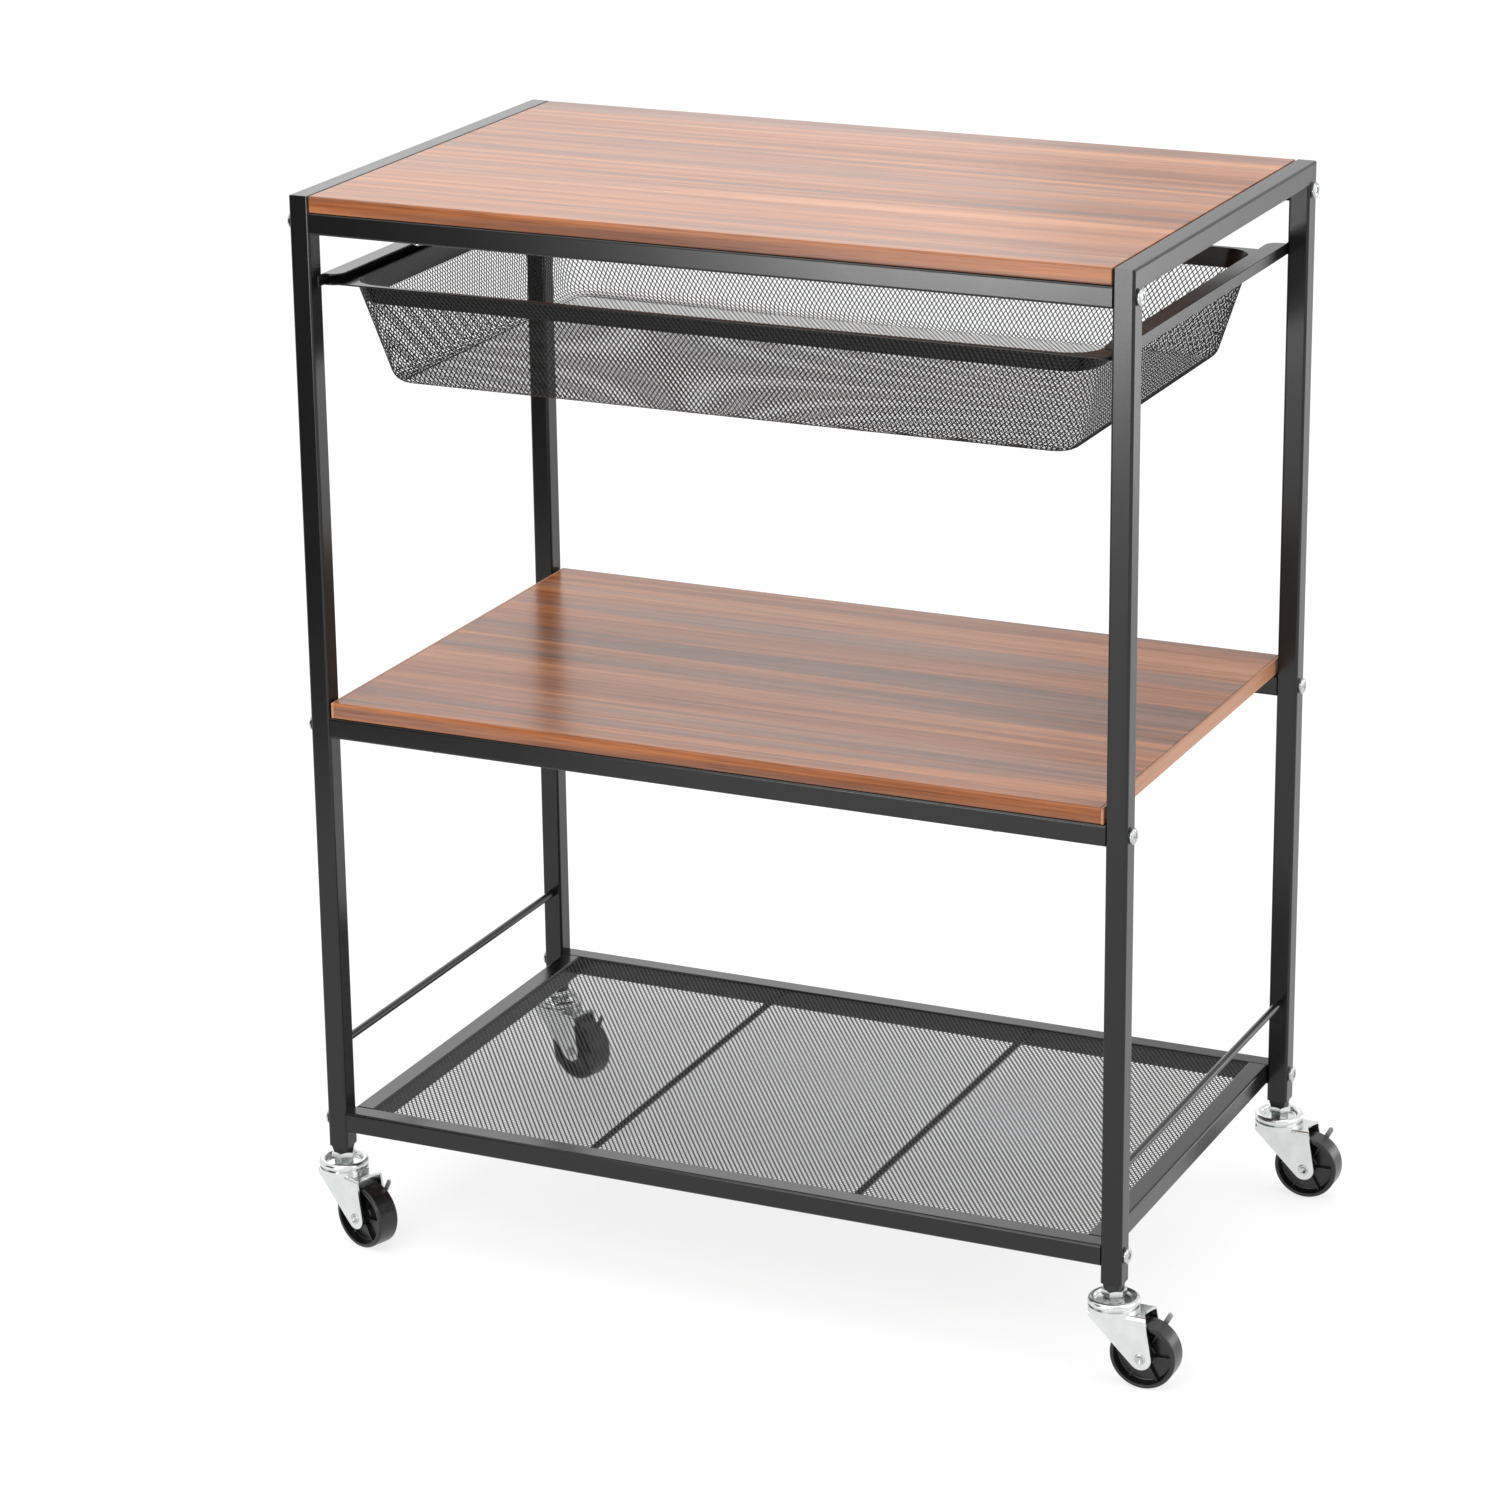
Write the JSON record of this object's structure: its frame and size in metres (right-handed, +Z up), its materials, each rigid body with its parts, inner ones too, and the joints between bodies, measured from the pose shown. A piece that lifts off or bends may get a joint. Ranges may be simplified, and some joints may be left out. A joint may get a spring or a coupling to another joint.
{
  "type": "rolling shelf",
  "caption": "Rolling shelf with a square-tube frame, wood boards, a sliding mesh drawer, a mesh bottom shelf and swivel casters with brake levers.",
  "frame": {"origin": "on the floor, midway between the four legs", "axes": "+X right, -Y front where the drawer pulls out, +Z up"},
  "size_m": [0.6926, 0.4052, 0.809],
  "materials": {
    "black_powder_coat": "semi-gloss black powder coat",
    "wood_board": "satin wood-grain board, warm brown",
    "zinc_plate": "bright zinc plate",
    "black_plastic": "matte black moulded plastic",
    "wheel_plastic": "satin black moulded tread"
  },
  "bodies": {
    "frame": {"bearing_cups": "zinc_plate", "board_screws": "zinc_plate", "caster_stems": "zinc_plate", "frame_screws": "zinc_plate", "jam_nuts": "zinc_plate", "left_drawer_runner": "black_powder_coat", "left_front_leg": "black_powder_coat", "left_guard_rod": "black_powder_coat", "left_rear_leg": "black_powder_coat", "left_top_rail": "black_powder_coat", "leg_plugs": "black_plastic", "middle_board": "wood_board", "middle_front_rail": "black_powder_coat", "middle_rear_rail": "black_powder_coat", "rail_inserts": "zinc_plate", "right_drawer_runner": "black_powder_coat", "right_front_leg": "black_powder_coat", "right_guard_rod": "black_powder_coat", "right_rear_leg": "black_powder_coat", "right_top_rail": "black_powder_coat", "shelf_cross_bars": "black_powder_coat", "shelf_front_rail": "black_powder_coat", "shelf_left_rail": "black_powder_coat", "shelf_mesh": "black_powder_coat", "shelf_rear_rail": "black_powder_coat", "shelf_right_rail": "black_powder_coat", "top_board": "wood_board", "top_front_rail": "black_powder_coat", "top_rear_rail": "black_powder_coat"},
    "drawer": {"drawer_basket": "black_powder_coat", "drawer_rim": "black_powder_coat"},
    "left_front_swivel": {"left_front_fork": "zinc_plate", "left_front_bearing": "zinc_plate", "left_front_axle": "zinc_plate"},
    "left_front_roller": {"left_front_wheel": "wheel_plastic"},
    "left_front_brake": {"left_front_brake_lever": "zinc_plate"},
    "left_rear_swivel": {"left_rear_fork": "zinc_plate", "left_rear_bearing": "zinc_plate", "left_rear_axle": "zinc_plate"},
    "left_rear_roller": {"left_rear_wheel": "wheel_plastic"},
    "left_rear_brake": {"left_rear_brake_lever": "zinc_plate"},
    "right_front_swivel": {"right_front_fork": "zinc_plate", "right_front_bearing": "zinc_plate", "right_front_axle": "zinc_plate"},
    "right_front_roller": {"right_front_wheel": "wheel_plastic"},
    "right_front_brake": {"right_front_brake_lever": "zinc_plate"},
    "right_rear_swivel": {"right_rear_fork": "zinc_plate", "right_rear_bearing": "zinc_plate", "right_rear_axle": "zinc_plate"},
    "right_rear_roller": {"right_rear_wheel": "wheel_plastic"},
    "right_rear_brake": {"right_rear_brake_lever": "zinc_plate"}
  },
  "joints": [
    {"name": "drawer_slide", "type": "slide", "parent": "frame", "child": "drawer", "axis": [0, -1, 0], "range_m": [0, 0.25]},
    {"name": "left_front_swivel_turn", "type": "hinge", "parent": "frame", "child": "left_front_swivel", "pos_m": [-0.312, -0.181, 0.0565], "axis": [0, 0, 1], "continuous": true},
    {"name": "left_front_wheel_spin", "type": "hinge", "parent": "left_front_swivel", "child": "left_front_roller", "pos_m": [-0.28874, -0.18901, 0.025], "axis": [0.3256, 0.9455, 0], "continuous": true},
    {"name": "left_front_brake_press", "type": "hinge", "parent": "left_front_swivel", "child": "left_front_brake", "pos_m": [-0.28874, -0.18901, 0.025], "axis": [0.3256, 0.9455, 0], "range_deg": [0, 40]},
    {"name": "left_rear_swivel_turn", "type": "hinge", "parent": "frame", "child": "left_rear_swivel", "pos_m": [-0.312, 0.181, 0.0565], "axis": [0, 0, 1], "continuous": true},
    {"name": "left_rear_wheel_spin", "type": "hinge", "parent": "left_rear_swivel", "child": "left_rear_roller", "pos_m": [-0.2886, 0.1734, 0.025], "axis": [0.309, 0.9511, 0], "continuous": true},
    {"name": "left_rear_brake_press", "type": "hinge", "parent": "left_rear_swivel", "child": "left_rear_brake", "pos_m": [-0.2886, 0.1734, 0.025], "axis": [0.309, 0.9511, 0], "range_deg": [0, 40]},
    {"name": "right_front_swivel_turn", "type": "hinge", "parent": "frame", "child": "right_front_swivel", "pos_m": [0.312, -0.181, 0.0565], "axis": [0, 0, 1], "continuous": true},
    {"name": "right_front_wheel_spin", "type": "hinge", "parent": "right_front_swivel", "child": "right_front_roller", "pos_m": [0.3366, -0.181, 0.025], "axis": [0, 1, 0], "continuous": true},
    {"name": "right_front_brake_press", "type": "hinge", "parent": "right_front_swivel", "child": "right_front_brake", "pos_m": [0.3366, -0.181, 0.025], "axis": [0, 1, 0], "range_deg": [0, 40]},
    {"name": "right_rear_swivel_turn", "type": "hinge", "parent": "frame", "child": "right_rear_swivel", "pos_m": [0.312, 0.181, 0.0565], "axis": [0, 0, 1], "continuous": true},
    {"name": "right_rear_wheel_spin", "type": "hinge", "parent": "right_rear_swivel", "child": "right_rear_roller", "pos_m": [0.3366, 0.181, 0.025], "axis": [0, 1, 0], "continuous": true},
    {"name": "right_rear_brake_press", "type": "hinge", "parent": "right_rear_swivel", "child": "right_rear_brake", "pos_m": [0.3366, 0.181, 0.025], "axis": [0, 1, 0], "range_deg": [0, 40]}
  ]
}
